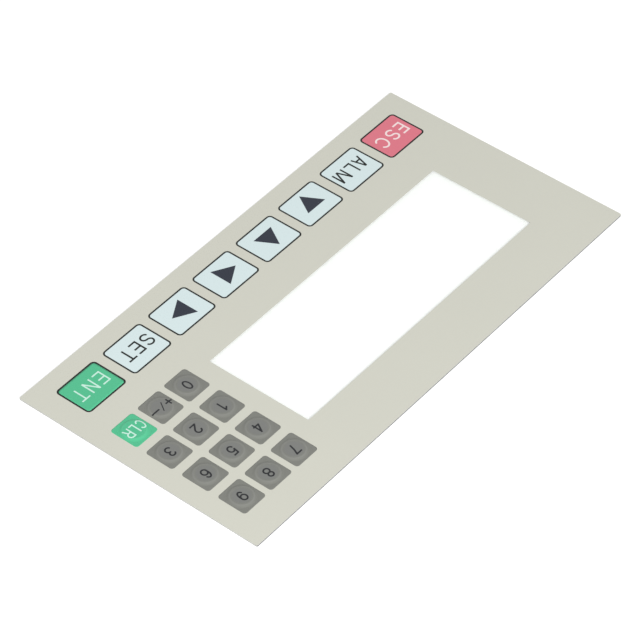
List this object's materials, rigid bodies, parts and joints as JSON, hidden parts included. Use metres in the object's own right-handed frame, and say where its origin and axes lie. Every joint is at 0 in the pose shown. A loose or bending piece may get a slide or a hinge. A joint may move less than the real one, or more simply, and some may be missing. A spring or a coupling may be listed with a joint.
{
  "type": "membrane keypad",
  "caption": "Thin printed membrane keypad with a clear display window, a row of outlined function keys and a block of embossed number keys over a sealed switch laminate.",
  "frame": {"origin": "middle of the rear adhesive face, under the centre of the sheet", "axes": "+X along the long side in the reading direction of the keys, +Y from the function keys towards the top edge, +Z out of the printed face"},
  "size_m": [0.163, 0.085, 0.0009],
  "materials": {
    "adhesive": "milky pressure-sensitive adhesive",
    "circuit_film": "milky polyester film",
    "silver_ink": "matte printed silver",
    "spacer_film": "milky adhesive-coated polyester",
    "clear_film": "clear polyester film",
    "beige_ink": "satin textured print",
    "dark_ink": "satin textured print",
    "red_ink": "satin textured print",
    "pale_ink": "satin textured print",
    "green_ink": "satin textured print",
    "grey_ink": "satin textured print"
  },
  "bodies": {
    "root": {"rear_adhesive": "adhesive", "lower_circuit_film": "circuit_film", "lower_contacts": "silver_ink", "spacer": "spacer_film", "upper_contacts": "silver_ink", "upper_circuit_film": "circuit_film", "overlay_adhesive": "adhesive", "overlay_film": "clear_film", "field_print": "beige_ink", "outline_print": "dark_ink", "red_key_print": "red_ink", "pale_key_print": "pale_ink", "green_key_print": "green_ink", "grey_key_print": "grey_ink"}
  },
  "joints": []
}
